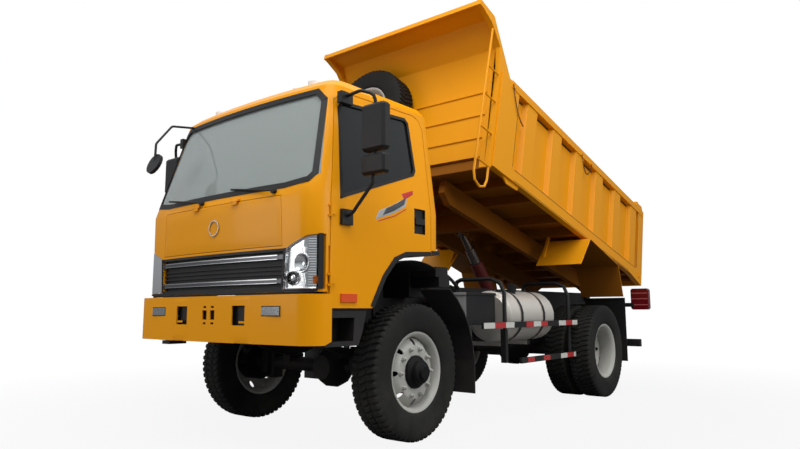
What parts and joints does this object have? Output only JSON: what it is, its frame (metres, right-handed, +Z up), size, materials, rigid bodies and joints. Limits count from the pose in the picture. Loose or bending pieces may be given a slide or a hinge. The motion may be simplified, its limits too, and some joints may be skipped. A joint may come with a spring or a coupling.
{
  "type": "tipping truck",
  "caption": "Light four-wheel-drive tipping truck with a tilting cab, steered front wheels, twin rear wheels and a steel bed that a telescopic hoist raises towards the rear.",
  "frame": {"origin": "on the ground under the middle of the truck's overall box, with the bed raised as in the picture", "axes": "+Z up, the truck faces -Y, its left side is at +X"},
  "size_m": [2.564, 6.1878, 3.6896],
  "materials": {
    "body_paint": "gloss",
    "chassis_paint": "satin",
    "dark_red_paint": "satin",
    "rim_paint": "satin",
    "axle_iron": "rough",
    "spring_steel": "rough",
    "tyre_rubber": "matte",
    "black_plastic": "matte",
    "flap_rubber": "matte",
    "tank_aluminium": "brushed",
    "glass": "clear",
    "lamp_clear": "clear",
    "lamp_red": "gloss",
    "cab_trim": "matte",
    "seat_fabric": "woven",
    "guard_paint": "gloss",
    "chrome": "polished"
  },
  "bodies": {
    "chassis": {"frame_rails": "chassis_paint", "frame_crossmembers": "chassis_paint", "subframe": "dark_red_paint", "front_axle": "axle_iron", "rear_axle": "axle_iron", "leaf_springs": "spring_steel", "drivetrain": "axle_iron", "fuel_tank": "tank_aluminium", "battery_box": "rim_paint", "air_tanks": "chassis_paint", "side_guards": "guard_paint", "front_mudguards": "black_plastic", "entry_steps": "chassis_paint", "bumper": "body_paint", "fog_lamps": "lamp_clear", "cab_brackets": "chassis_paint", "rear_bars": "chassis_paint", "tail_lamps": "lamp_red", "rear_mudflaps": "flap_rubber"},
    "cab": {"cab_shell": "body_paint", "cab_glass": "glass", "grille": "black_plastic", "headlamps": "lamp_clear", "cab_floor": "chassis_paint", "dashboard_and_steering": "cab_trim", "seats": "seat_fabric", "wipers": "chassis_paint", "nose_mirror": "black_plastic", "roof_lamps": "lamp_clear"},
    "front_lid": {"front_lid": "body_paint"},
    "door_left": {"door_left": "body_paint", "door_glass_left": "glass", "mirrors_left": "black_plastic"},
    "door_right": {"door_right": "body_paint", "door_glass_right": "glass", "mirrors_right": "black_plastic"},
    "knuckle_left": {"knuckle_left": "axle_iron"},
    "knuckle_right": {"knuckle_right": "axle_iron"},
    "wheel_front_left": {"front_tyre_left": "tyre_rubber", "front_rim_left": "rim_paint"},
    "wheel_front_right": {"front_tyre_right": "tyre_rubber", "front_rim_right": "rim_paint"},
    "wheels_rear_left": {"rear_tyres_left": "tyre_rubber", "rear_rims_left": "rim_paint"},
    "wheels_rear_right": {"rear_tyres_right": "tyre_rubber", "rear_rims_right": "rim_paint"},
    "bed": {"bed_beams": "body_paint", "bed_floor": "body_paint", "bed_side_left": "body_paint", "bed_side_right": "body_paint", "bed_front_wall": "body_paint", "bed_ladder": "body_paint", "spare_tyre": "tyre_rubber", "spare_rim": "rim_paint", "bed_fenders": "body_paint"},
    "tailgate": {"tailgate": "body_paint"},
    "hoist_barrel": {"hoist_barrel": "dark_red_paint"},
    "hoist_stage": {"hoist_stage": "chrome"},
    "hoist_rod": {"hoist_rod": "chrome"}
  },
  "joints": [
    {"name": "cab_tilt", "type": "hinge", "parent": "chassis", "child": "cab", "pos_m": [0, -2.759, 1.14], "axis": [1, 0, 0], "range_deg": [0, 45]},
    {"name": "front_lid_hinge", "type": "hinge", "parent": "cab", "child": "front_lid", "pos_m": [0, -2.919, 1.674], "axis": [-1, 0, 0], "range_deg": [0, 60]},
    {"name": "door_left_hinge", "type": "hinge", "parent": "cab", "child": "door_left", "pos_m": [0.972, -2.722, 1.34], "axis": [0, 0, -1], "range_deg": [0, 70]},
    {"name": "door_right_hinge", "type": "hinge", "parent": "cab", "child": "door_right", "pos_m": [-0.972, -2.722, 1.34], "axis": [0, 0, 1], "range_deg": [0, 70]},
    {"name": "steer_left", "type": "hinge", "parent": "chassis", "child": "knuckle_left", "pos_m": [0.715, -1.839, 0.487], "axis": [0, 0, 1], "range_deg": [-30, 30]},
    {"name": "steer_right", "type": "hinge", "parent": "chassis", "child": "knuckle_right", "pos_m": [-0.715, -1.839, 0.487], "axis": [0, 0, 1], "range_deg": [-30, 30]},
    {"name": "roll_front_left", "type": "hinge", "parent": "knuckle_left", "child": "wheel_front_left", "pos_m": [0.869, -1.839, 0.487], "axis": [1, 0, 0], "continuous": true},
    {"name": "roll_front_right", "type": "hinge", "parent": "knuckle_right", "child": "wheel_front_right", "pos_m": [-0.869, -1.839, 0.487], "axis": [1, 0, 0], "continuous": true},
    {"name": "roll_rear_left", "type": "hinge", "parent": "chassis", "child": "wheels_rear_left", "pos_m": [0.88, 1.291, 0.487], "axis": [1, 0, 0], "continuous": true},
    {"name": "roll_rear_right", "type": "hinge", "parent": "chassis", "child": "wheels_rear_right", "pos_m": [-0.88, 1.291, 0.487], "axis": [1, 0, 0], "continuous": true},
    {"name": "bed_tip", "type": "hinge", "parent": "chassis", "child": "bed", "pos_m": [0, 2.49284, 1.18131], "axis": [-1, 0, 0], "range_deg": [-13.7, 34.3]},
    {"name": "tailgate_hinge", "type": "hinge", "parent": "bed", "child": "tailgate", "pos_m": [0, 2.88155, 2.31141], "axis": [1, 0, 0], "range_deg": [0, 70]},
    {"name": "hoist_tilt", "type": "hinge", "parent": "chassis", "child": "hoist_barrel", "pos_m": [0, 0.961, 0.9], "axis": [-1, 0, 0], "range_deg": [-17.23, 42.98]},
    {"name": "hoist_stage_slide", "type": "slide", "parent": "hoist_barrel", "child": "hoist_stage", "axis": [0, -0.6513, 0.7588], "range_m": [-0.1739, 0.4345]},
    {"name": "hoist_rod_slide", "type": "slide", "parent": "hoist_stage", "child": "hoist_rod", "axis": [0, -0.6513, 0.7588], "range_m": [-0.1739, 0.4345]}
  ],
  "couplings": [
    {"joint": "steer_right", "follows": "steer_left", "ratio": 1},
    {"joint": "hoist_tilt", "follows": "bed_tip", "ratio": 1.25},
    {"joint": "hoist_stage_slide", "follows": "bed_tip", "m_per_rad": 0.725},
    {"joint": "hoist_rod_slide", "follows": "bed_tip", "m_per_rad": 0.725}
  ]
}
